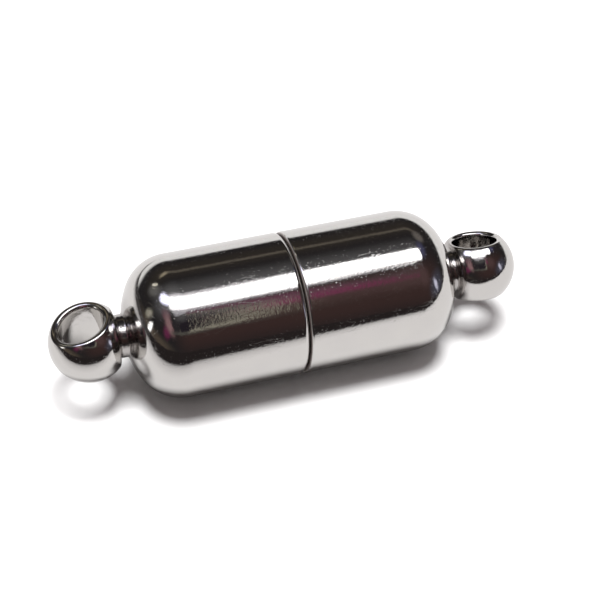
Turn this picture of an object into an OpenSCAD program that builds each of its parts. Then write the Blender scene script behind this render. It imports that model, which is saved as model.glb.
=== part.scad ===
// A magnetic barrel clasp for a necklace or bracelet, lying closed on its side.
// Two turned cases meet at the middle. Each holds a disc magnet at its rim and ends in a neck
// and a ball with an eye drilled through it.
// +X runs along the barrel, +Z is up, and the origin is on the table under the seam.

/* [Barrel] */
// Diameter of the barrel
barrel_d = 6; // [5.8:0.1:9]
// Length of each case from its rim to the top of its domed outer end
case_len = 7.08; // [6:0.02:11]
// Radius of the round shoulder at each outer end
shoulder_r = 1.95; // [1:0.05:2.2]
// Angle that the shoulder turns through before the flatter dome goes on from it
shoulder_angle = 61; // [50:1:70]
// Rounding of the left case's rim
left_rim_r = 0.2; // [0.05:0.01:0.3]
// Rounding of the right case's rim
right_rim_r = 0.14; // [0.05:0.01:0.3]
// Gap between the two rims when the clasp is closed
rim_gap = 0.05; // [0.02:0.01:0.2]

/* [Loops] */
// Diameter of the ball at each end
ball_d = 3.3; // [3.26:0.02:4.4]
// Length of the left neck, from the dome to the ball's flat side
left_neck_len = 0.42; // [0.3:0.01:2.5]
// Length of the right neck, from the dome to the ball's flat side
right_neck_len = 0.27; // [0.26:0.01:2.5]
// Diameter of the neck
neck_d = 1.8; // [1.3:0.02:1.88]
// Fillet where the neck meets the case
neck_base_r = 0.12; // [0.05:0.01:0.16]
// Fillet where the neck meets the ball
neck_top_r = 0.14; // [0.05:0.01:0.16]
// Distance from the ball's centre to its flat side, where the neck starts
ball_flat = 1.1; // [1.06:0.01:1.13]

/* [Eyes] */
// Diameter of the eye through each ball
eye_d = 1.86; // [1.2:0.02:1.9]
// Rounding of the left eye's two mouths
left_mouth_r = 0.17; // [0.05:0.01:0.22]
// Rounding of the right eye's two mouths
right_mouth_r = 0.15; // [0.05:0.01:0.22]
// How far the left eye is drilled past the ball's centre, away from the barrel
left_eye_shift = 0.26; // [0:0.01:0.3]
// How far the right eye is drilled past the ball's centre, away from the barrel
right_eye_shift = 0; // [0:0.01:0.3]
// Turn of the left half about the barrel, which is 0 with its eye upright
left_turn = -2; // [-180:0.5:180]
// Turn of the right half about the barrel, which is 0 with its eye upright
right_turn = -24.5; // [-180:0.5:180]

/* [Magnets] */
// Wall of each case around its magnet
case_wall = 0.65; // [0.4:0.05:1.2]
// Glue gap around and behind each magnet
glue_gap = 0.05; // [0.02:0.01:0.1]
// Thickness of each magnet
magnet_t = 3; // [1:0.1:4]
// Chamfer round each magnet's faces
magnet_chamfer = 0.15; // [0.05:0.01:0.4]
// Depth of each magnet's face below the rim
magnet_inset = 0.02; // [0:0.01:0.2]

/* [Hidden] */
$fn = 96;

// The barrel lies on the table, so its axis is one radius up
barrel_r = barrel_d / 2;
neck_r = neck_d / 2;
ball_r = ball_d / 2;
eye_r = eye_d / 2;
rim_x = rim_gap / 2;
pocket_r = barrel_r - case_wall;
pocket_depth = magnet_inset + magnet_t + glue_gap;
magnet_r = pocket_r - glue_gap;

// The dome's centre lies on the barrel's axis, and its circle touches the shoulder's where they meet
dome_r = (barrel_r - shoulder_r) / cos(shoulder_angle) + shoulder_r;
dome_y = case_len - dome_r;
shoulder_y = dome_y + (dome_r - shoulder_r) * sin(shoulder_angle);
neck_y = dome_y + sqrt(pow(dome_r, 2) - pow(neck_r, 2));

// The round where the neck leaves the dome touches both, and ends on the line between their centres
base_ring_r = neck_r + neck_base_r;
base_y = dome_y + sqrt(pow(dome_r + neck_base_r, 2) - pow(base_ring_r, 2));
base_angle = acos(base_ring_r / (dome_r + neck_base_r));

// Each case's outline is turned about the barrel from a line this many degrees round from its eye,
// so that the seam that this leaves in the surface stays clear of the eye
seam_turn = 4.2;

// Tools for cutting reach this far past what they cut
spare = 0.5;

// Lays a half on the table with its rim at the seam: side is -1 for the left half and 1 for the right,
// turn is its turn about the barrel, and the child's +Z runs outwards along the barrel
module laid(side, turn) {
  translate([side * rim_x, 0, barrel_r])
    rotate([turn, 0, 0])
      rotate([0, side * 90, 0])
        children();
}

// Half of a case's outline, from the axis out: x is the radius and y the distance from the rim
module case_outline(rim_r, neck_len) {
  flat_y = neck_y + neck_len;
  // Barrel between its rounded rim and the shoulder
  translate([0, rim_r])
    square([barrel_r, shoulder_y - rim_r]);
  square([barrel_r - rim_r, rim_r]);
  translate([barrel_r - rim_r, rim_r])
    intersection() {
      circle(rim_r);
      translate([0, -rim_r])
        square(rim_r);
    }
  // Shoulder and dome, each a slice of its own circle
  translate([barrel_r - shoulder_r, shoulder_y])
    slice(shoulder_r, 0, shoulder_angle);
  translate([0, dome_y])
    slice(dome_r, shoulder_angle, base_angle);
  // Foot of the neck, hollowed by the round between dome and neck
  difference() {
    polygon([
      [0, dome_y],
      [base_ring_r, base_y],
      [0, base_y]
    ]);
    translate([base_ring_r, base_y])
      circle(neck_base_r);
  }
  // Neck, and its round onto the ball's flat side
  translate([0, base_y])
    square([neck_r, flat_y - base_y]);
  difference() {
    translate([neck_r - neck_top_r, flat_y - neck_top_r])
      square([2 * neck_top_r, neck_top_r]);
    translate([neck_r + neck_top_r, flat_y - neck_top_r])
      circle(neck_top_r);
  }
  // Ball, cut flat where the neck starts
  translate([0, flat_y + ball_flat])
    intersection() {
      circle(ball_r);
      translate([0, -ball_flat])
        square([ball_r, ball_flat + ball_r]);
    }
}

// Slice of a circle between two angles, up to a quarter turn apart
module slice(r, low, high) {
  intersection() {
    circle(r);
    polygon([
      [0, 0],
      [2 * r * cos(low), 2 * r * sin(low)],
      [2 * r * cos(high), 2 * r * sin(high)]
    ]);
  }
}

// Everything that an eye takes from a ball centred on the origin: the drilled hole along Z, which lies
// shift towards +X, and a mouth rounded by mouth_r at each end, tilted so that it follows the ball.
// The round stops just short of touching the ball and the eye, so that every edge is a clean one
module eye_cut(shift, mouth_r) {
  bite = 0.02 * mouth_r;
  ring_r = eye_r + mouth_r - bite;
  ring_z = sqrt(pow(ball_r - mouth_r + bite, 2) - pow(ring_r, 2));
  translate([shift, 0, -ball_r - spare])
    cylinder(r = eye_r, h = 2 * (ball_r + spare));
  for (flip = [0, 1])
    mirror([0, 0, flip])
      rotate([0, asin(shift / ring_z), 0])
        rotate_extrude()
          mouth_profile(mouth_r, ring_r, ring_z);
}

// Section of a mouth: what lies outside the round, between the eye and the line on which the round
// runs out onto the ball
module mouth_profile(mouth_r, ring_r, ring_z) {
  reach = (ball_r + spare / 2) / (ball_r - mouth_r);
  difference() {
    polygon([
      [0, ring_z],
      [ring_r, ring_z],
      [reach * ring_r, reach * ring_z],
      [reach * ring_r, ball_r + spare],
      [0, ball_r + spare]
    ]);
    translate([ring_r, ring_z])
      circle(mouth_r);
  }
}

// One case: barrel half, neck and ball turned in one piece, bored for its magnet and drilled for its eye
module case_half(side, rim_r, neck_len, shift, mouth_r, turn) {
  laid(side, turn)
    difference() {
      rotate([0, 0, side * seam_turn])
        rotate_extrude()
          difference() {
            case_outline(rim_r, neck_len);
            translate([0, -spare])
              square([pocket_r, spare + pocket_depth]);
          }
      translate([0, 0, neck_y + neck_len + ball_flat])
        rotate([0, -90, 0])
          eye_cut(shift, mouth_r);
    }
}

// Disc magnet, chamfered all round, with its face just below the rim
module disc_magnet(side, turn) {
  laid(side, turn)
    translate([0, 0, magnet_inset])
      rotate_extrude()
        polygon([
          [0, 0],
          [magnet_r - magnet_chamfer, 0],
          [magnet_r, magnet_chamfer],
          [magnet_r, magnet_t - magnet_chamfer],
          [magnet_r - magnet_chamfer, magnet_t],
          [0, magnet_t]
        ]);
}

module left_case() {
  color("#c9cacc") case_half(-1, left_rim_r, left_neck_len, left_eye_shift, left_mouth_r, left_turn);
}

module left_magnet() {
  color("#8f9094") disc_magnet(-1, left_turn);
}

module right_case() {
  color("#c9cacc") case_half(1, right_rim_r, right_neck_len, right_eye_shift, right_mouth_r, right_turn);
}

module right_magnet() {
  color("#8f9094") disc_magnet(1, right_turn);
}

left_case();
left_magnet();
right_case();
right_magnet();
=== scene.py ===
"""Looks of a magnetic barrel clasp: two mirror-plated cases with ball loops, and their disc magnets.

It is laid out as a Blender add-on and run as a script on top of the packed frame. Lengths are in
metres, +X runs along the barrel, +Z is up, and the clasp lies on the floor at z = 0.
"""

import math

import bpy
import numpy as np
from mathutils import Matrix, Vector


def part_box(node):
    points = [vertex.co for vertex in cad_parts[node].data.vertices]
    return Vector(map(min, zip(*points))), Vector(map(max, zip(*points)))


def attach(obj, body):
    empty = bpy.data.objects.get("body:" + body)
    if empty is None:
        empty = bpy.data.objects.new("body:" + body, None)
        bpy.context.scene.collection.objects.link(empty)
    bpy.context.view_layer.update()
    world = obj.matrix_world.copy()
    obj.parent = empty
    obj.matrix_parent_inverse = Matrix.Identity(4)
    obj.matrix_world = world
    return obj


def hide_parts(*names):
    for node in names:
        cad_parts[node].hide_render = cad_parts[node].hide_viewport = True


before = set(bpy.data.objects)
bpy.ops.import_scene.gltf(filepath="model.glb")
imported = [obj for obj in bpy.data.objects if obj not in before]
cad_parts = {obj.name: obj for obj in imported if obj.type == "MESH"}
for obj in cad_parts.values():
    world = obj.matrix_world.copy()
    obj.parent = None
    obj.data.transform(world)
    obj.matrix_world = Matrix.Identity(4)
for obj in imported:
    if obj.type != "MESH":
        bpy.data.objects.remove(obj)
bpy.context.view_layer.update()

bl_info = {
    "name": "Magnetic barrel clasp",
    "version": (1, 0, 0),
    "blender": (4, 5, 0),
    "location": "3D View > Sidebar > Clasp",
    "description": "Builds a closed magnetic barrel clasp with its plating, magnets and studio",
    "category": "Object",
}

MM = 0.001
LEFT_LOW, LEFT_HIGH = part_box("left_case")
MAGNET_LOW, MAGNET_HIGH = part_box("left_magnet")


def length(name, description, default, **limits):
    """A size in metres, as a property that shows in the scene's own units."""
    return bpy.props.FloatProperty(
        name=name, description=description, default=default, min=0.0,
        unit="LENGTH", subtype="DISTANCE", precision=6, **limits)


class ClaspCaseSizes(bpy.types.PropertyGroup):
    """Sizes of the two turned cases."""

    barrel_radius: length("Barrel radius", "Radius of the barrel", (LEFT_HIGH.z - LEFT_LOW.z) / 2)
    rim_x: length("Rim distance", "Distance of each rim from the seam's middle", -LEFT_HIGH.x)
    case_length: length("Case length", "Length from a rim to the top of its dome", 7.08 * MM)
    shoulder_radius: length("Shoulder radius", "Radius of the round shoulder", 1.95 * MM)
    shoulder_angle: bpy.props.FloatProperty(
        name="Shoulder angle", description="Angle that the shoulder turns before the dome goes on",
        default=math.radians(61), min=0.1, max=1.5, subtype="ANGLE")
    left_rim_radius: length("Left rim radius", "Rounding of the left rim", 0.2 * MM)
    right_rim_radius: length("Right rim radius", "Rounding of the right rim", 0.14 * MM)
    wall: length("Wall", "Wall of a case around its magnet", 0.65 * MM)
    pocket_depth: length("Pocket depth", "Depth of the pocket that holds the magnet", 3.07 * MM)


class ClaspLoopSizes(bpy.types.PropertyGroup):
    """Sizes of the necks, the balls and the eyes drilled through them."""

    ball_radius: length("Ball radius", "Radius of the ball", 1.65 * MM)
    ball_flat: length("Ball flat", "Distance from a ball's centre to its flat side", 1.1 * MM)
    left_neck_length: length("Left neck length", "Length from the dome to the left ball's flat", 0.42 * MM)
    right_neck_length: length("Right neck length", "Length from the dome to the right ball's flat", 0.27 * MM)
    neck_radius: length("Neck radius", "Radius of the neck", 0.9 * MM)
    neck_base_fillet: length("Base fillet", "Fillet where the neck leaves the case", 0.12 * MM)
    neck_top_fillet: length("Top fillet", "Fillet where the neck meets the ball", 0.14 * MM)
    eye_radius: length("Eye radius", "Radius of the drilled eye", 0.93 * MM)
    left_mouth: length("Left mouth", "Rounding of the left eye's mouths", 0.17 * MM)
    right_mouth: length("Right mouth", "Rounding of the right eye's mouths", 0.15 * MM)
    left_eye_shift: length("Left eye shift", "How far the left eye is past the ball's centre", 0.26 * MM)
    right_eye_shift: length("Right eye shift", "How far the right eye is past the ball's centre", 0.0)
    left_turn: bpy.props.FloatProperty(
        name="Left turn", description="Turn of the left half about the barrel",
        default=math.radians(-2), subtype="ANGLE")
    right_turn: bpy.props.FloatProperty(
        name="Right turn", description="Turn of the right half about the barrel",
        default=math.radians(-24.5), subtype="ANGLE")


class ClaspMagnetSizes(bpy.types.PropertyGroup):
    """Sizes of the two disc magnets."""

    magnet_radius: length("Magnet radius", "Radius of each magnet", (MAGNET_HIGH.z - MAGNET_LOW.z) / 2)
    thickness: length("Thickness", "Thickness of each magnet", MAGNET_HIGH.x - MAGNET_LOW.x)
    chamfer: length("Chamfer", "Chamfer round each magnet's faces", 0.15 * MM)
    edge_round: length("Edge rounding", "Rounding that the nickel gives the magnet's edges", 0.05 * MM)


class ClaspFinish(bpy.types.PropertyGroup):
    """Colours and wear of the metals."""

    plating_colour: bpy.props.FloatVectorProperty(
        name="Plating", description="Colour of the mirror plating", subtype="COLOR", size=3,
        default=(0.64, 0.622, 0.602), min=0.0, max=1.0)
    magnet_colour: bpy.props.FloatVectorProperty(
        name="Magnet", description="Colour of the magnets' nickel", subtype="COLOR", size=3,
        default=(0.56, 0.54, 0.51), min=0.0, max=1.0)
    groove_tone_colour: bpy.props.FloatVectorProperty(
        name="Groove tone", description="Colour of the grime in the groove at the seam", subtype="COLOR", size=3,
        default=(0.15, 0.12, 0.11), min=0.0, max=1.0)
    peel_depth: length("Peel depth", "Height of the plating's fine unevenness", 0.0017 * MM)
    pit_depth: length("Pit depth", "Depth of the plating's sparse pits", 0.0014 * MM)
    scratch_depth: length("Scratch depth", "Depth of the plating's fine scratches", 0.0006 * MM)
    magnet_peel_depth: length("Magnet peel depth", "Height of the nickel's unevenness", 0.0008 * MM)
    magnet_scratch_depth: length("Magnet scratch depth", "Depth of the nickel's scratches", 0.0015 * MM)


class ClaspStudio(bpy.types.PropertyGroup):
    """Floor, light and camera."""

    floor_colour: bpy.props.FloatVectorProperty(
        name="Floor", description="Colour of the floor", subtype="COLOR", size=3,
        default=(0.8, 0.8, 0.8), min=0.0, max=1.0)
    floor_size: length("Floor size", "Width of the square floor", 4.0)
    light_strength: bpy.props.FloatProperty(
        name="Light", description="Strength of the overhead light", default=5.6, min=0.0)
    light_angle: bpy.props.FloatProperty(
        name="Light size", description="Angle that the overhead light fills",
        default=math.radians(25), subtype="ANGLE")
    light_tilt: bpy.props.FloatProperty(
        name="Light tilt", description="How far the overhead light is tilted towards the viewer",
        default=math.radians(0.5), subtype="ANGLE")
    camera_place: bpy.props.FloatVectorProperty(
        name="Camera place", description="Where the camera stands", subtype="TRANSLATION", size=3,
        unit="LENGTH", precision=6, default=(-0.016831, -0.048589, 0.053398))
    camera_turn: bpy.props.FloatVectorProperty(
        name="Camera turn", description="How the camera is turned", subtype="EULER", size=3,
        default=(math.radians(45.6425), math.radians(-2.0013), math.radians(-17.644)))
    camera_lens: bpy.props.FloatProperty(
        name="Lens", description="Focal length on a 36 mm wide sensor, in millimetres",
        default=103.534, min=1.0)


SETTINGS = {
    "clasp_case": ClaspCaseSizes,
    "clasp_loop": ClaspLoopSizes,
    "clasp_magnet": ClaspMagnetSizes,
    "clasp_finish": ClaspFinish,
    "clasp_studio": ClaspStudio,
}

# Steps of the surfaces: round the barrel, the magnets and an eye, and round a ball's section
BARREL_COLUMNS = 288
MAGNET_COLUMNS = 160
BALL_COLUMNS = 224
BALL_ROWS = 112

# Rounds inside a pocket and where a ball is cut flat, and how far a neck runs on inside its ball
POCKET_ROUND = 0.03 * MM
FLAT_ROUND = 0.05 * MM
NECK_SINK = 0.06 * MM


# Surfaces

def arc(centre, radius, start, end, steps):
    """Points of a circle: centre + radius * (cos, sin) of angles spread evenly from start to end degrees."""
    angle = np.radians(np.linspace(start, end, steps))
    return np.stack([centre[0] + radius * np.cos(angle), centre[1] + radius * np.sin(angle)], axis=1)


def line(start, end, steps):
    """Points of a straight line, closer together near both ends: start + (end - start) * s, where s is
    half of 1 - cos of an angle that runs evenly from 0 to 180 degrees."""
    s = (1 - np.cos(np.linspace(0, np.pi, steps))) / 2
    return np.asarray(start) + np.outer(s, np.subtract(end, start))


def outline(*parts):
    """One run of points from several, without the doubles where they join."""
    points = np.concatenate(parts)
    step = np.linalg.norm(np.diff(points, axis=0), axis=1)
    return points[np.concatenate([[True], step > 1e-9])]


def turned(profile, columns):
    """Closed solid of revolution of a profile of (radius, height) points that starts and ends on the axis.
    Point (row i, column j) is (height_i, radius_i * cos a_j, radius_i * sin a_j), a_j = 2 pi j / columns,
    and the two ends are single points that close the poles."""
    angle = 2 * np.pi * np.arange(columns) / columns
    rings = profile[1:-1]
    grid = np.stack([
        np.repeat(rings[:, 1:], columns, axis=1),
        np.outer(rings[:, 0], np.cos(angle)),
        np.outer(rings[:, 0], np.sin(angle)),
    ], axis=2).reshape(-1, 3)
    first = len(grid)
    ends = np.array([[profile[0, 1], 0, 0], [profile[-1, 1], 0, 0]])
    j = np.arange(columns)
    following = (j + 1) % columns
    low = np.stack([following, j, np.full(columns, first)], axis=1)
    top = (len(rings) - 1) * columns
    high = np.stack([top + j, top + following, np.full(columns, first + 1)], axis=1)
    return np.concatenate([grid, ends]), [looped(len(rings), columns, False), low, high]


def looped(rows, columns, closed_rows):
    """Quads of a grid whose columns close on themselves, and whose rows do too if closed_rows is true."""
    i = np.arange(rows if closed_rows else rows - 1)
    j = np.arange(columns)
    i, j = np.meshgrid(i, j, indexing="ij")
    here, below, beside = i * columns, (i + 1) % rows * columns, (j + 1) % columns
    return np.stack([here + j, here + beside, below + beside, below + j], axis=2).reshape(-1, 4)


def dome_circle(case):
    """Radius D of the dome and its centre's distance from the rim. Its centre lies on the barrel's axis and
    it touches the shoulder at the shoulder's angle, so D = (barrel - shoulder) / cos(angle) + shoulder."""
    gap = case.barrel_radius - case.shoulder_radius
    radius = gap / math.cos(case.shoulder_angle) + case.shoulder_radius
    return radius, case.case_length - radius


def flat_distance(case, loop, neck_length):
    """Distance from the rim to the ball's flat side: the neck's length past where its side meets the dome."""
    dome, dome_centre = dome_circle(case)
    return dome_centre + math.sqrt(dome ** 2 - loop.neck_radius ** 2) + neck_length


def case_profile(case, loop, rim_radius, neck_length):
    """Outline of a case and its neck as (radius, distance from the rim): pocket floor, pocket wall, rim,
    barrel, shoulder as an arc of its angle, and the dome as an arc that goes on from it to the neck. The
    neck lies between a fillet that touches the dome and a quarter-circle one, and ends sunk in the ball."""
    barrel, shoulder = case.barrel_radius, case.shoulder_radius
    bend = math.degrees(case.shoulder_angle)
    dome, dome_centre = dome_circle(case)
    start = dome_centre + (dome - shoulder) * math.sin(case.shoulder_angle)
    pocket, depth = barrel - case.wall, case.pocket_depth
    neck, base, top = loop.neck_radius, loop.neck_base_fillet, loop.neck_top_fillet
    root = dome_centre + math.sqrt((dome + base) ** 2 - (neck + base) ** 2)
    root_bend = math.degrees(math.atan2(root - dome_centre, neck + base))
    flat, nick = flat_distance(case, loop, neck_length), POCKET_ROUND
    end = flat + NECK_SINK
    return outline(
        line((0, depth), (pocket - nick, depth), 12),
        arc((pocket - nick, depth - nick), nick, 90, 0, 5),
        line((pocket, depth - nick), (pocket, nick), 16),
        arc((pocket + nick, nick), nick, 180, 270, 5),
        line((pocket + nick, 0), (barrel - rim_radius, 0), 8),
        arc((barrel - rim_radius, rim_radius), rim_radius, 270, 360, 16),
        line((barrel, rim_radius), (barrel, start), 48),
        arc((barrel - shoulder, start), shoulder, 0, bend, 56),
        arc((0, dome_centre), dome, bend, root_bend, 32),
        arc((neck + base, root), base, 180 + root_bend, 180, 20),
        line((neck, root), (neck, flat - top), 10),
        arc((neck + top, flat - top), top, 180, 90, 20),
        line((neck + top, flat), (neck + top, end), 3),
        line((neck + top, end), (0, end), 8),
    )


def drilled_ball(loop, shift, mouth, rows, columns):
    """A ball of radius R with a round eye of radius e drilled along its third axis, shift s off its centre.

    At each angle a about the eye, a closed section runs round: the eye's wall, a quarter-round mouth of
    radius m, and the ball's own circle, whose centre lies s * cos a from the eye's axis and whose radius is
    the root of R^2 - s^2 * sin^2 a. The mouth's centre lies at radius e + m, where its round touches both.
    Then the side towards the neck is cut flat at distance f, with its edge rounded by k: distance d becomes
    (d + f - root((d - f)^2 + k^2)) / 2.
    Points are (towards the neck, across, along the eye), from the ball's centre."""
    big, eye, flat = loop.ball_radius, loop.eye_radius, loop.ball_flat
    a = 2 * np.pi * np.arange(columns) / columns
    centre = shift * np.cos(a)
    radius = np.sqrt(big ** 2 - (shift * np.sin(a)) ** 2)
    mouth_z = np.sqrt((radius - mouth) ** 2 - (eye + mouth - centre) ** 2)
    end = np.arctan2(mouth_z, eye + mouth - centre)
    mouth_rows, wall_rows = rows // 8, rows // 6
    ball_rows = rows - 2 * mouth_rows - wall_rows
    on_ball, on_mouth, on_wall = (np.linspace(0, 1, count, endpoint=False)[:, None]
                                  for count in (ball_rows, mouth_rows, wall_rows))
    circle = end * (1 - 2 * on_ball)
    lower = -end - (np.pi - end) * on_mouth
    upper = np.pi - (np.pi - end) * on_mouth
    rho = np.concatenate([
        centre + radius * np.cos(circle),
        eye + mouth + mouth * np.cos(lower),
        np.full((wall_rows, columns), eye),
        eye + mouth + mouth * np.cos(upper),
    ])
    along = np.concatenate([
        radius * np.sin(circle),
        -mouth_z + mouth * np.sin(lower),
        mouth_z * (2 * on_wall - 1),
        mouth_z + mouth * np.sin(upper),
    ])
    towards = rho * np.cos(a) - shift
    towards = (towards + flat - np.sqrt((towards - flat) ** 2 + FLAT_ROUND ** 2)) / 2
    points = np.stack([towards, rho * np.sin(a), along], axis=2).reshape(-1, 3)
    return points, [looped(len(rho), columns, True)]


def laid(points, side, turn, case):
    """Points of (distance from the rim, across, up) laid as a half of the clasp: turned about the barrel,
    then carried to its rim, on the left for side -1 and on the right for side 1."""
    across = points[:, 1] * np.cos(turn) - points[:, 2] * np.sin(turn)
    up = points[:, 1] * np.sin(turn) + points[:, 2] * np.cos(turn)
    return np.stack([side * (case.rim_x + points[:, 0]), across, up + case.barrel_radius], axis=1)


def outwards(points, faces):
    """The faces, turned round where the volume that they enclose comes out negative."""
    volume = 0.0
    for group in faces:
        for k in range(1, group.shape[1] - 1):
            corner = points[group[:, [0, k, k + 1]]]
            volume += np.einsum("ij,ij->", corner[:, 0], np.cross(corner[:, 1], corner[:, 2]))
    return faces if volume > 0 else [group[:, ::-1] for group in faces]


def solid(name, shells, material):
    """A smooth-shaded mesh object of one or more closed shells, each given as (points, faces)."""
    points, faces, first = [], [], 0
    for shell_points, shell_faces in shells:
        for group in outwards(shell_points, shell_faces):
            faces.extend((group + first).tolist())
        points.append(shell_points)
        first += len(shell_points)
    mesh = bpy.data.meshes.new(name)
    mesh.from_pydata(np.concatenate(points).tolist(), [], faces)
    mesh.validate()
    mesh.polygons.foreach_set("use_smooth", np.ones(len(mesh.polygons), dtype=bool))
    mesh.materials.append(material)
    mesh.update()
    piece = bpy.data.objects.new(name, mesh)
    bpy.context.scene.collection.objects.link(piece)
    return piece


# Nodes

def connect(tree, node, inputs):
    """Gives each named or numbered input of a node its value, or links it where that value is a pair of a
    node and one of its outputs. The functions that make one node for one result return such a pair."""
    for key, value in inputs.items():
        if isinstance(value, tuple) and isinstance(value[0], bpy.types.Node):
            tree.links.new(value[0].outputs[value[1]], node.inputs[key])
        else:
            node.inputs[key].default_value = value


def add(tree, kind, place, inputs=None, **settings):
    """A node of a kind at a place, with its settings and its inputs."""
    made = tree.nodes.new(kind)
    made.location = place
    for key, value in settings.items():
        setattr(made, key, value)
    connect(tree, made, inputs or {})
    return made


def figure(tree, place, operation, *terms):
    """The result of a Math node on up to three terms."""
    return add(tree, "ShaderNodeMath", place, dict(enumerate(terms)), operation=operation), 0


def product(tree, place, first, second):
    """The dot product of two vectors."""
    return add(tree, "ShaderNodeVectorMath", place, {0: first, 1: second}, operation="DOT_PRODUCT"), "Value"


def ramp(tree, place, value, start, end, low=0.0, high=1.0, run="SMOOTHSTEP"):
    """Low where the value is below its start, high where it is past its end, and a smooth or LINEAR run
    between them."""
    inputs = {"Value": value, 1: start, 2: end, 3: low, 4: high}
    return add(tree, "ShaderNodeMapRange", place, inputs, interpolation_type=run), 0


def blend(tree, place, share, first, second):
    """The first colour, mixed with a share of the second."""
    return add(tree, "ShaderNodeMix", place, {0: share, 6: first, 7: second}, data_type="RGBA"), 2


def noise(tree, place, vector, scale, detail, roughness=0.5, distortion=0.0):
    """A noise from 0 to 1, mostly near 0.5, that swings about as often as its scale over one metre."""
    inputs = {"Vector": vector, "Scale": scale, "Detail": detail, "Roughness": roughness,
              "Distortion": distortion}
    return add(tree, "ShaderNodeTexNoise", place, inputs), "Fac"


def relief(tree, place, height, depth, sunk=False, below=None):
    """A normal bent by a height of up to a depth in metres, raised or sunk, on top of the one below it."""
    inputs = {"Strength": 1.0, "Distance": depth, "Height": height}
    if below:
        inputs["Normal"] = below
    return add(tree, "ShaderNodeBump", place, inputs, invert=sunk), "Normal"


def new_group(name, inputs, outputs):
    """An empty shader node group with named inputs (name, kind, default) and outputs (name, kind)."""
    tree = bpy.data.node_groups.new(name, "ShaderNodeTree")
    for label, kind, default in inputs:
        socket = tree.interface.new_socket(name=label, in_out="INPUT", socket_type=kind)
        if default is not None:
            socket.default_value = default
    for label, kind in outputs:
        tree.interface.new_socket(name=label, in_out="OUTPUT", socket_type=kind)
    source = add(tree, "NodeGroupInput", (-900, 0))
    sink = add(tree, "NodeGroupOutput", (700, 0))
    return tree, source, sink


def group_node(tree, name, place, **inputs):
    """A placed node group with its inputs, whose names have _ for a space."""
    named = {key.replace("_", " "): value for key, value in inputs.items()}
    return add(tree, "ShaderNodeGroup", place, named, node_tree=bpy.data.node_groups[name])


def peel_group():
    """Fine unevenness of plating: a fine noise, with a coarser one added at 0.6 of its height."""
    tree, source, sink = new_group(
        "Orange peel",
        [("Vector", "NodeSocketVector", None), ("Scale", "NodeSocketFloat", 12000.0)],
        [("Height", "NodeSocketFloat")])
    vector, scale = (source, "Vector"), (source, "Scale")
    fine = noise(tree, (-500, 100), vector, scale, detail=2.0, roughness=0.6)
    coarse_scale = figure(tree, (-700, -200), "MULTIPLY", scale, 0.3)
    coarse = noise(tree, (-500, -200), vector, coarse_scale, detail=1.0)
    connect(tree, sink, {"Height": figure(tree, (0, 0), "MULTIPLY_ADD", coarse, 0.6, fine)})


def pit_group():
    """Sparse pits: the peaks of a fine noise, thinned out in patches by a coarse one."""
    tree, source, sink = new_group(
        "Pits",
        [("Vector", "NodeSocketVector", None), ("Scale", "NodeSocketFloat", 15000.0),
         ("Rarity", "NodeSocketFloat", 0.66)],
        [("Mask", "NodeSocketFloat")])
    vector, rarity = (source, "Vector"), (source, "Rarity")
    fine = noise(tree, (-500, 100), vector, (source, "Scale"), detail=1.0)
    patches = noise(tree, (-500, -200), vector, scale=900.0, detail=1.0)
    lift = figure(tree, (-300, -200), "MULTIPLY_ADD", patches, 0.15, -0.075)
    level = figure(tree, (-100, 0), "ADD", fine, lift)
    full = figure(tree, (-100, -250), "ADD", rarity, 0.1)
    connect(tree, sink, {"Mask": ramp(tree, (200, 0), level, rarity, full)})


def scratch_group():
    """Hair scratches: the thin places where a stretched noise passes its middle value, kept in patches."""
    tree, source, sink = new_group(
        "Hair scratches",
        [("Vector", "NodeSocketVector", None), ("Stretch", "NodeSocketVector", (900.0, 900.0, 5000.0)),
         ("Width", "NodeSocketFloat", 0.01), ("Share", "NodeSocketFloat", 0.45)],
        [("Mask", "NodeSocketFloat")])
    vector = (source, "Vector")
    stretched = add(tree, "ShaderNodeVectorMath", (-650, 100), {0: vector, 1: (source, "Stretch")},
                    operation="MULTIPLY")
    lines = noise(tree, (-450, 100), (stretched, 0), scale=1.0, detail=1.5, distortion=0.3)
    middle = figure(tree, (-250, 100), "SUBTRACT", lines, 0.5)
    away = figure(tree, (-80, 100), "ABSOLUTE", middle)
    thin = ramp(tree, (100, 100), away, 0.0, (source, "Width"), low=1.0, high=0.0)
    patches = noise(tree, (-450, -250), vector, scale=700.0, detail=1.0)
    chosen = ramp(tree, (100, -250), patches, (source, "Share"), 0.6)
    connect(tree, sink, {"Mask": figure(tree, (400, 0), "MULTIPLY", thin, chosen)})


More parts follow.
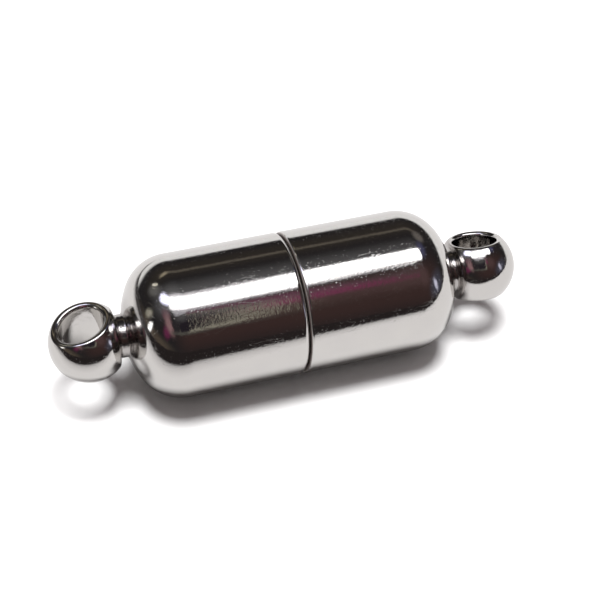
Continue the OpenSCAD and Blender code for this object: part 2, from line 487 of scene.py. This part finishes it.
def oval_group():
    """A soft-edged oval of one colour laid over what is behind it, around an aim, with half sizes in radians.
    Squareness 2 is a true oval, and more than that comes nearer to a box with round corners."""
    tree, source, sink = new_group(
        "Soft oval",
        [("Direction", "NodeSocketVector", None), ("Aim", "NodeSocketVector", None),
         ("Side", "NodeSocketVector", None), ("Up", "NodeSocketVector", None),
         ("Half width", "NodeSocketFloat", 0.3), ("Half height", "NodeSocketFloat", 0.3),
         ("Squareness", "NodeSocketFloat", 2.0), ("Softness", "NodeSocketFloat", 0.3),
         ("Behind", "NodeSocketColor", None), ("Colour", "NodeSocketColor", None)],
        [("Colour", "NodeSocketColor")])
    direction, squareness, softness = (source, "Direction"), (source, "Squareness"), (source, "Softness")
    powers = []
    for y, axis, half in ((0, "Side", "Half width"), (-200, "Up", "Half height")):
        dot = product(tree, (-700, y), direction, (source, axis))
        angle = figure(tree, (-520, y), "ARCSINE", dot)
        share = figure(tree, (-340, y), "DIVIDE", angle, (source, half))
        size = figure(tree, (-250, y), "ABSOLUTE", share)
        powers.append(figure(tree, (-160, y), "POWER", size, squareness))
    total = figure(tree, (0, -100), "ADD", *powers)
    root = figure(tree, (0, 50), "DIVIDE", 1.0, squareness)
    far = figure(tree, (130, -100), "POWER", total, root)
    inner = figure(tree, (0, -300), "SUBTRACT", 1.0, softness)
    outer = figure(tree, (0, -450), "ADD", 1.0, softness)
    inside = ramp(tree, (260, -100), far, inner, outer, low=1.0, high=0.0)
    ahead = product(tree, (0, 200), direction, (source, "Aim"))
    front = figure(tree, (200, 200), "GREATER_THAN", ahead, 0.0)
    mask = figure(tree, (400, 0), "MULTIPLY", inside, front)
    over = blend(tree, (550, 0), mask, (source, "Behind"), (source, "Colour"))
    connect(tree, sink, {"Colour": over})


def build_groups():
    """Every node group, built once."""
    for name, build in (("Orange peel", peel_group), ("Pits", pit_group), ("Hair scratches", scratch_group),
                        ("Soft oval", oval_group)):
        if name not in bpy.data.node_groups:
            build()


# Materials

# Distances from the seam's middle over which the necks' wear and painted shade set in, and over which they
# end
NECK_START = (6.7 * MM, 7.0 * MM)
NECK_END = (7.35 * MM, 7.6 * MM)

# Share of that wear and painted shade that the balls still have, and what the full amount adds to the painted
# shade (a darker colour), to the height of the peel and to the roughness
BALL_SHADE_AND_WEAR = 0.05
NECK_PAINTED_SHADE = 0.5
NECK_PEEL = 1.5
NECK_ROUGHNESS = 0.06

# Distances from the seam's middle over which the groove's darker, browner and duller tone ends, the radii
# over which it sets in, and what it takes from the metal's shine and adds to the roughness
GROOVE_TONE_END = (0.04 * MM, 0.1 * MM)
GROOVE_TONE_RADIUS = (2.74 * MM, 2.84 * MM)
GROOVE_TONE_DULLING = 0.6
GROOVE_TONE_ROUGHNESS = 0.25

# Values of the tone noise between which a metal's patches go from smooth to rough, and both roughnesses
TONE_RANGE = (0.3, 0.7)
PLATING_ROUGHNESS = (0.05, 0.085)
MAGNET_ROUGHNESS = (0.2, 0.34)

# Scales of the orange peel
PLATING_PEEL_SCALE = 10000.0
MAGNET_PEEL_SCALE = 6000.0


def new_material(name):
    """A node material with a Principled shader, and its tree, shader and Object coordinates."""
    material = bpy.data.materials.new(name)
    material.use_nodes = True
    tree = material.node_tree
    shader = tree.nodes["Principled BSDF"]
    place = add(tree, "ShaderNodeTexCoord", (-1500, 0))
    return material, tree, shader, (place, "Object")


def tinted(colour, red, green, blue):
    """A colour with its three parts multiplied, as a colour input takes it."""
    return colour[0] * red, colour[1] * green, colour[2] * blue, 1


def neck_mask(tree, from_seam):
    """1 on the necks, 0 on the barrel and nearly 0 on the balls."""
    root = ramp(tree, (-900, -250), from_seam, *NECK_START)
    ball = ramp(tree, (-900, -500), from_seam, *NECK_END, low=1.0, high=BALL_SHADE_AND_WEAR)
    return figure(tree, (-700, -350), "MULTIPLY", root, ball)


def groove_tone_mask(tree, place, from_seam):
    """1 in the groove at the seam, near the barrel's surface."""
    groove = ramp(tree, (-900, -900), from_seam, *GROOVE_TONE_END, low=1.0, high=0.0)
    to_axis = {0: place, 1: (0, 1, 1), 2: (0, 0, -LEFT_HIGH.z / 2)}
    across = add(tree, "ShaderNodeVectorMath", (-1100, -1100), to_axis, operation="MULTIPLY_ADD")
    radius = add(tree, "ShaderNodeVectorMath", (-900, -1100), {0: (across, 0)}, operation="LENGTH")
    outer = ramp(tree, (-700, -1100), (radius, "Value"), *GROOVE_TONE_RADIUS)
    return figure(tree, (-500, -900), "MULTIPLY", groove, outer)


def plating_material():
    """Mirror-bright white metal plating with orange peel, fine pits and hair scratches. The necks are
    rougher, with a painted shade that darkens their colour, and the groove at the seam is darker, browner and
    duller."""
    found = bpy.data.materials.get("Mirror plating")
    if found:
        return found
    finish = bpy.context.scene.clasp_finish
    base = finish.plating_colour
    material, tree, shader, place = new_material("Mirror plating")
    parts = add(tree, "ShaderNodeSeparateXYZ", (-1300, -300), {0: place})
    from_seam = figure(tree, (-1100, -300), "ABSOLUTE", (parts, "X"))
    neck = neck_mask(tree, from_seam)
    darkening = groove_tone_mask(tree, place, from_seam)

    tone = noise(tree, (-900, 600), place, scale=900.0, detail=3.0)
    clean = blend(tree, (-400, 500), tone, tinted(base, 0.95, 0.95, 0.96), tinted(base, 1.03, 1.03, 1.02))
    # Painted shade: the necks, between case and ball, get a darker colour.
    neck_painted_shade = figure(tree, (-400, 350), "MULTIPLY", neck, NECK_PAINTED_SHADE)
    neck_shaded = blend(tree, (-200, 500), neck_painted_shade, clean, tinted(base, 0.45, 0.42, 0.42))
    # The groove at the seam is made darker, browner and duller.
    colour = blend(tree, (0, 500), darkening, neck_shaded, (*finish.groove_tone_colour, 1))
    bare = ramp(tree, (-400, 200), tone, *TONE_RANGE, *PLATING_ROUGHNESS, run="LINEAR")
    worn = figure(tree, (-200, 200), "MULTIPLY_ADD", neck, NECK_ROUGHNESS, bare)

    peel = group_node(tree, "Orange peel", (-900, 0), Vector=place, Scale=PLATING_PEEL_SCALE)
    pits = group_node(tree, "Pits", (-900, -700), Vector=place)
    scratches = group_node(tree, "Hair scratches", (-900, 300), Vector=place)
    strength = figure(tree, (-500, -350), "MULTIPLY_ADD", neck, NECK_PEEL, 1.0)
    height = figure(tree, (-600, -100), "MULTIPLY", (peel, "Height"), strength)
    uneven = relief(tree, (-300, -100), height, finish.peel_depth)
    pitted = relief(tree, (-200, -300), (pits, "Mask"), finish.pit_depth, sunk=True, below=uneven)
    scratched = relief(tree, (-100, -100), (scratches, "Mask"), finish.scratch_depth, sunk=True, below=pitted)
    connect(tree, shader, {
        "Base Color": colour,
        "Metallic": figure(tree, (0, 350), "MULTIPLY_ADD", darkening, -GROOVE_TONE_DULLING, 1.0),
        "Roughness": figure(tree, (0, 200), "MULTIPLY_ADD", darkening, GROOVE_TONE_ROUGHNESS, worn),
        "Normal": scratched,
    })
    return material


def magnet_material():
    """Satin nickel of the magnets: a coarser peel, more scratches and a duller, uneven shine."""
    found = bpy.data.materials.get("Magnet nickel")
    if found:
        return found
    finish = bpy.context.scene.clasp_finish
    dark, bright = (tinted(finish.magnet_colour, share, share, share) for share in (0.85, 1.05))
    material, tree, shader, place = new_material("Magnet nickel")
    peel = group_node(tree, "Orange peel", (-900, 0), Vector=place, Scale=MAGNET_PEEL_SCALE)
    scratches = group_node(tree, "Hair scratches", (-900, 300), Vector=place,
                           Stretch=(1500.0, 1200.0, 4000.0), Width=0.02, Share=0.3)
    tone = noise(tree, (-900, 600), place, scale=700.0, detail=4.0)
    uneven = relief(tree, (-300, -100), (peel, "Height"), finish.magnet_peel_depth)
    scratched = relief(tree, (-100, -100), (scratches, "Mask"), finish.magnet_scratch_depth,
                       sunk=True, below=uneven)
    connect(tree, shader, {
        "Base Color": blend(tree, (-400, 500), tone, dark, bright),
        "Metallic": 1.0,
        "Roughness": ramp(tree, (-400, 200), tone, *TONE_RANGE, *MAGNET_ROUGHNESS, run="LINEAR"),
        "Normal": scratched,
    })
    return material


# Studio

# What the metal mirrors besides the floor, from back to front, so that a row covers those above it: each
# soft oval's azimuth from the front towards +X, elevation, turn, half width and half height in degrees, its
# squareness, its softness and its colour
SURROUNDINGS = [
    ("brown wall", 30, 30, 0, 42, 28, 2, 0.6, (0.055, 0.032, 0.03)),
    ("side wall", -75, 2, 0, 35, 9, 2, 0.6, (0.10, 0.08, 0.062)),
    ("brown back", 180, 40, 0, 40, 14, 2, 0.6, (0.036, 0.031, 0.027)),
    ("pale back wall", 155, -20, 0, 66, 32, 2, 0.08, (1.0, 1.0, 1.0)),
    ("brown shelf", 168, 43, 0, 24, 2.4, 3, 0.4, (0.125, 0.11, 0.09)),
    ("shelf lamp", -168, 42.5, 0, 8, 2.6, 2, 0.6, (0.38, 0.33, 0.24)),
    ("window haze", -127, 40, 0, 9, 12, 2, 0.6, (0.15, 0.145, 0.14)),
    ("far window", -138, 39.5, 10, 2.2, 5.6, 4, 0.25, (1.0, 0.95, 0.8)),
    ("side window", -99.5, 17, -30, 4.5, 9, 2, 0.6, (0.42, 0.40, 0.33)),
    ("side lamp", -89, 6, -20, 3.5, 9, 2, 0.4, (2.6, 2.6, 2.6)),
    ("grey patch", 126, 43, 0, 9, 8, 2, 0.5, (0.16, 0.145, 0.135)),
    ("red card", 35, 41, 0, 13, 15, 2, 0.6, (0.10, 0.06, 0.06)),
    ("blue haze", 60, 11, 0, 18, 13, 2, 0.6, (0.07, 0.07, 0.095)),
    ("blue window", 58, 13, 0, 4, 8, 2, 0.5, (0.8, 0.8, 1.0)),
    ("blue shade", 96, 54, 0, 11, 8, 2, 0.6, (0.08, 0.08, 0.15)),
    ("magenta cloth", -49, 25, 0, 8, 9, 2, 0.6, (0.15, 0.03, 0.08)),
    ("magenta sheet", -65, 49, 0, 9, 8, 2, 0.6, (0.17, 0.06, 0.09)),
    ("pink sheet", -46, 38, 46, 7, 16, 2, 0.6, (0.32, 0.19, 0.20)),
    ("overhead glow", -90, 77, 0, 19, 32, 2, 0.8, (0.17, 0.17, 0.175)),
    ("magenta card", 19, 52, 0, 4.6, 8.5, 3, 0.45, (0.22, 0.045, 0.11)),
    ("grey card", 0, 44.5, 0, 12.9, 15.3, 6, 0.04, (0.34, 0.32, 0.26)),
    ("card foot", -12, 31, 0, 21, 2.8, 4, 0.3, (0.10, 0.095, 0.085)),
    ("hollow's left", -24, 45, 24, 12, 13, 3, 0.3, (0.03, 0.027, 0.03)),
    ("dark hollow", 0, 45.8, 0, 11.3, 13.3, 6, 0.05, (0.022, 0.018, 0.024)),
    ("hollow haze", -4, 57, 4, 14, 7, 2, 0.8, (0.10, 0.097, 0.10)),
    ("pale flank", -12, 68, 10, 15, 8.5, 4, 0.2, (0.48, 0.47, 0.51)),
    ("near glow", -18, 80, 7, 20, 14.5, 4, 0.14, (0.80, 0.78, 0.83)),
    ("left lamp", -97, 62, 51, 11, 7.5, 2.5, 0.4, (2.4, 2.4, 3.1)),
    ("right light", 75, 66.7, -69, 9, 8.7, 4, 0.25, (4.5, 4.5, 4.6)),
    ("overhead light", -16, 79.2, 7, 18.5, 9.4, 4.5, 0.3, (4.0, 4.0, 4.1)),
]
DARK_ROOM = (0.024, 0.022, 0.023, 1)

# Colour of the faint fill on matt surfaces, and the heights of a gaze, out of 1, over which it sets in
FILL_COLOUR = (0.53, 0.46, 0.47, 1)
FILL_HEIGHT = (0.4, 1.0)

# How the painted reflection of the floor brightens behind its front edge, as (millimetres behind it, share of
# its shade)
FLOOR_SHADE = [(-0.8, 0.0), (1.2, 0.55), (3.5, 0.78), (7.0, 1.0)]

# Front edge of the painted reflection of the pale floor, in front of which the metal sees a painted dark, as
# (x, y) in millimetres, and the range that y keeps to
REFLECTION_EDGE = [(-60, -5), (-30, -5), (-20, -6), (-14, -8.5), (-8, -11.5), (-2, -14.5), (0, -15.5),
              (5.5, -19), (9, -22), (12, -25), (15, -28), (30, -34), (60, -42)]
EDGE_RANGE = (-60, 20)

# Where the painted reflection of the floor darkens on the left, as (x in millimetres, share of its shade)
REFLECTION_LEFT_FADE = [(-36, 0.05), (-19, 1.0)]

# Painted dark colour of the floor's reflection past its edges, and the share of the floor's own colour within
# them, a painted dimming of the reflection
PAINTED_DARK_REFLECTION = (0.012, 0.010, 0.010, 1)
MIRRORED_SHARE = 0.6


def edge_line(tree, x):
    """The front edge's y in metres over an x in metres, as a curve through the points of REFLECTION_EDGE."""
    low, high = REFLECTION_EDGE[0][0], REFLECTION_EDGE[-1][0]
    bottom, top = EDGE_RANGE
    share = ramp(tree, (-1100, 100), x, low * MM, high * MM, run="LINEAR")
    curve = add(tree, "ShaderNodeFloatCurve", (-900, 100), {"Value": share})
    points = [((x - low) / (high - low), (y - bottom) / (top - bottom)) for x, y in REFLECTION_EDGE]
    handles = curve.mapping.curves[0].points
    handles[0].location = points[0]
    handles[1].location = points[-1]
    for point in points[1:-1]:
        handles.new(*point)
    curve.mapping.update()
    return ramp(tree, (-600, 100), (curve, 0), 0.0, 1.0, bottom * MM, top * MM, run="LINEAR")


def floor_material():
    """A pale matt floor. Its reflection in the metal is painted: dimmer, and painted dark past a front edge
    and on the left.
    """
    pale = tuple(bpy.context.scene.clasp_studio.floor_colour)
    material, tree, shader, place = new_material("Pale floor")
    tree.nodes.remove(shader)
    parts = add(tree, "ShaderNodeSeparateXYZ", (-1300, 0), {0: place})
    beyond = figure(tree, (-400, 0), "SUBTRACT", (parts, "Y"), edge_line(tree, (parts, "X")))
    first, last = FLOOR_SHADE[0][0], FLOOR_SHADE[-1][0]
    depth = ramp(tree, (-300, 0), beyond, first * MM, last * MM, run="LINEAR")
    shade = add(tree, "ShaderNodeValToRGB", (-200, 0), {0: depth})
    stops = shade.color_ramp.elements
    for k, (distance, share) in enumerate(FLOOR_SHADE):
        stop = stops[k] if k < 2 else stops.new(1.0)
        stop.position = (distance - first) / (last - first)
        stop.color = (share, share, share, 1)
    (dark_x, dark_share), (full_x, full_share) = REFLECTION_LEFT_FADE
    left = ramp(tree, (-300, -250), (parts, "X"), dark_x * MM, full_x * MM,
                low=dark_share, high=full_share, run="LINEAR")
    both = figure(tree, (-120, -250), "MULTIPLY", (shade, 0), left)
    # Painted reflection: glossy rays see the floor dimmed, and painted dark past its edges.
    lit = tinted(pale, MIRRORED_SHARE, MIRRORED_SHARE, MIRRORED_SHARE)
    mirrored = blend(tree, (-50, -200), both, PAINTED_DARK_REFLECTION, lit)
    rays = add(tree, "ShaderNodeLightPath", (-600, 400))
    colour = blend(tree, (50, 200), (rays, "Is Glossy Ray"), (*pale, 1), mirrored)
    matt = add(tree, "ShaderNodeBsdfDiffuse", (200, 0), {"Color": colour})
    connect(tree, tree.nodes["Material Output"], {"Surface": (matt, 0)})
    return material


def facing(azimuth, elevation, turn):
    """Unit vectors ahead, to the side and up of a gaze at an azimuth from -Y towards +X, with the side
    turned up about the gaze, all in degrees."""
    a, e, t = np.radians((azimuth, elevation, turn))
    ahead = np.array((math.sin(a) * math.cos(e), -math.cos(a) * math.cos(e), math.sin(e)))
    level = np.array((math.cos(a), math.sin(a), 0.0))
    upright = np.array((-math.sin(a) * math.sin(e), math.cos(a) * math.sin(e), math.cos(e)))
    return ahead, level * math.cos(t) + upright * math.sin(t), upright * math.cos(t) - level * math.sin(t)


def surroundings(tree, gaze):
    """The dark room with every oval of SURROUNDINGS laid over it in turn, as seen along a gaze."""
    seen = DARK_ROOM
    for row, surround in enumerate(SURROUNDINGS):
        label, azimuth, elevation, turn, half_width, half_height, squareness, softness, colour = surround
        ahead, side, up = facing(azimuth, elevation, turn)
        oval = group_node(
            tree, "Soft oval", (-500, 400 - 200 * row), Direction=gaze, Aim=ahead, Side=side, Up=up,
            Half_width=math.radians(half_width), Half_height=math.radians(half_height),
            Squareness=squareness, Softness=softness, Behind=seen, Colour=(*colour, 1))
        oval.label = label
        seen = (oval, "Colour")
    return seen


def build_world():
    """White to the camera, a faint fill for matt surfaces, and the surroundings for the metal."""
    world = bpy.data.worlds.new("Studio")
    bpy.context.scene.world = world
    world.use_nodes = True
    tree = world.node_tree
    tree.nodes.clear()
    gaze = (add(tree, "ShaderNodeTexCoord", (-900, 0)), "Generated")
    rays = add(tree, "ShaderNodeLightPath", (300, 400))
    parts = add(tree, "ShaderNodeSeparateXYZ", (0, -300), {0: gaze})
    from_above = ramp(tree, (200, -300), (parts, "Z"), *FILL_HEIGHT)
    mirrored = add(tree, "ShaderNodeBackground", (400, 0), {"Color": surroundings(tree, gaze)})
    fill = add(tree, "ShaderNodeBackground", (400, -200), {"Color": FILL_COLOUR, "Strength": from_above})
    white = add(tree, "ShaderNodeBackground", (400, 200), {"Color": (1, 1, 1, 1)})
    matt_or_metal = add(tree, "ShaderNodeMixShader", (700, -100),
                        {0: (rays, "Is Glossy Ray"), 1: (fill, 0), 2: (mirrored, 0)})
    camera_or_rest = add(tree, "ShaderNodeMixShader", (950, 0),
                         {0: (rays, "Is Camera Ray"), 1: (matt_or_metal, 0), 2: (white, 0)})
    add(tree, "ShaderNodeOutputWorld", (1200, 0), {"Surface": (camera_or_rest, 0)})


# Operators

class CLASP_OT_cases(bpy.types.Operator):
    """Build both plated cases, each with its neck and drilled ball"""

    bl_idname = "clasp.cases"
    bl_label = "Cases"

    def execute(self, context):
        scene = context.scene
        case, loop = scene.clasp_case, scene.clasp_loop
        build_groups()
        for name, body, side, turn, rim_radius, neck_length, shift, mouth in (
            ("left_plated_case", "left_half", -1, loop.left_turn, case.left_rim_radius,
             loop.left_neck_length, loop.left_eye_shift, loop.left_mouth),
            ("right_plated_case", "right_half", 1, loop.right_turn, case.right_rim_radius,
             loop.right_neck_length, loop.right_eye_shift, loop.right_mouth),
        ):
            points, faces = turned(case_profile(case, loop, rim_radius, neck_length), BARREL_COLUMNS)
            barrel = laid(points, side, turn, case), faces
            points, faces = drilled_ball(loop, shift, mouth, BALL_ROWS, BALL_COLUMNS)
            points[:, 0] = flat_distance(case, loop, neck_length) + loop.ball_flat - points[:, 0]
            ball = laid(points, side, turn, case), faces
            piece = solid(name, [barrel, ball], plating_material())
            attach(piece, body)
            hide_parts(name.replace("_plated", ""))
        return {"FINISHED"}


class CLASP_OT_magnets(bpy.types.Operator):
    """Build both disc magnets, which sit in the cases just below their rims"""

    bl_idname = "clasp.magnets"
    bl_label = "Magnets"

    def execute(self, context):
        scene = context.scene
        case, loop, magnet = scene.clasp_case, scene.clasp_loop, scene.clasp_magnet
        build_groups()
        radius, thick = magnet.magnet_radius, magnet.thickness
        chamfer, nick = magnet.chamfer, magnet.edge_round
        corner = nick * math.tan(math.radians(22.5))
        profile = outline(
            line((0, thick), (radius - chamfer - corner, thick), 16),
            arc((radius - chamfer - corner, thick - nick), nick, 90, 45, 5),
            arc((radius - nick, thick - chamfer - corner), nick, 45, 0, 5),
            line((radius, thick - chamfer - corner), (radius, chamfer + corner), 16),
            arc((radius - nick, chamfer + corner), nick, 0, -45, 5),
            arc((radius - chamfer - corner, nick), nick, -45, -90, 5),
            line((radius - chamfer - corner, 0), (0, 0), 16),
        )
        inset = -MAGNET_HIGH.x - case.rim_x
        for name, body, side, turn in (
            ("left_disc_magnet", "turning_face", -1, loop.left_turn),
            ("right_disc_magnet", "right_half", 1, loop.right_turn),
        ):
            points, faces = turned(profile, MAGNET_COLUMNS)
            points[:, 0] += inset
            piece = solid(name, [(laid(points, side, turn, case), faces)], magnet_material())
            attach(piece, body)
            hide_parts(name.replace("_disc", ""))
        return {"FINISHED"}


class CLASP_OT_stage(bpy.types.Operator):
    """Build the pale floor, the soft light, the surroundings that the metal mirrors, and the camera"""

    bl_idname = "clasp.stage"
    bl_label = "Studio"

    def execute(self, context):
        scene = context.scene
        studio = scene.clasp_studio
        build_groups()
        half = studio.floor_size / 2
        mesh = bpy.data.meshes.new("studio_floor")
        corners = [(-half, -half, 0), (half, -half, 0), (half, half, 0), (-half, half, 0)]
        mesh.from_pydata(corners, [], [(0, 1, 2, 3)])
        mesh.materials.append(floor_material())
        floor = bpy.data.objects.new("studio_floor", mesh)
        scene.collection.objects.link(floor)

        lamp = bpy.data.lights.new("overhead", "SUN")
        lamp.energy = studio.light_strength
        lamp.angle = studio.light_angle
        light = bpy.data.objects.new("overhead", lamp)
        light.rotation_euler = (studio.light_tilt, 0, 0)
        light.visible_glossy = False
        scene.collection.objects.link(light)
        build_world()

        camera = bpy.data.objects.new("camera", bpy.data.cameras.new("camera"))
        camera.location = studio.camera_place
        camera.rotation_euler = studio.camera_turn
        camera.data.lens = studio.camera_lens
        camera.data.sensor_width = 36
        camera.data.clip_start = 1 * MM
        camera.data.clip_end = 10
        scene.collection.objects.link(camera)
        scene.camera = camera
        scene.view_settings.view_transform = "Standard"
        return {"FINISHED"}


OPERATORS = (CLASP_OT_cases, CLASP_OT_magnets, CLASP_OT_stage)


class CLASP_PT_panel(bpy.types.Panel):
    """Sidebar list of the clasp's sizes and pieces"""

    bl_idname = "CLASP_PT_panel"
    bl_label = "Magnetic barrel clasp"
    bl_space_type = "VIEW_3D"
    bl_region_type = "UI"
    bl_category = "Clasp"

    def draw(self, context):
        column = self.layout.column()
        for key, kind in SETTINGS.items():
            column.label(text=kind.__doc__)
            for field in kind.__annotations__:
                column.prop(getattr(context.scene, key), field)
        for operator in OPERATORS:
            column.operator(operator.bl_idname)


def register():
    """Registers the settings, the operators and the panel."""
    for key, kind in SETTINGS.items():
        bpy.utils.register_class(kind)
        setattr(bpy.types.Scene, key, bpy.props.PointerProperty(type=kind))
    for kind in (*OPERATORS, CLASP_PT_panel):
        bpy.utils.register_class(kind)


def unregister():
    """Takes away what register added."""
    for kind in (CLASP_PT_panel, *reversed(OPERATORS)):
        bpy.utils.unregister_class(kind)
    for key, kind in reversed(SETTINGS.items()):
        delattr(bpy.types.Scene, key)
        bpy.utils.unregister_class(kind)


def main():
    register()
    bpy.ops.clasp.cases()
    bpy.ops.clasp.magnets()
    bpy.ops.clasp.stage()


if __name__ == "__main__":
    main()
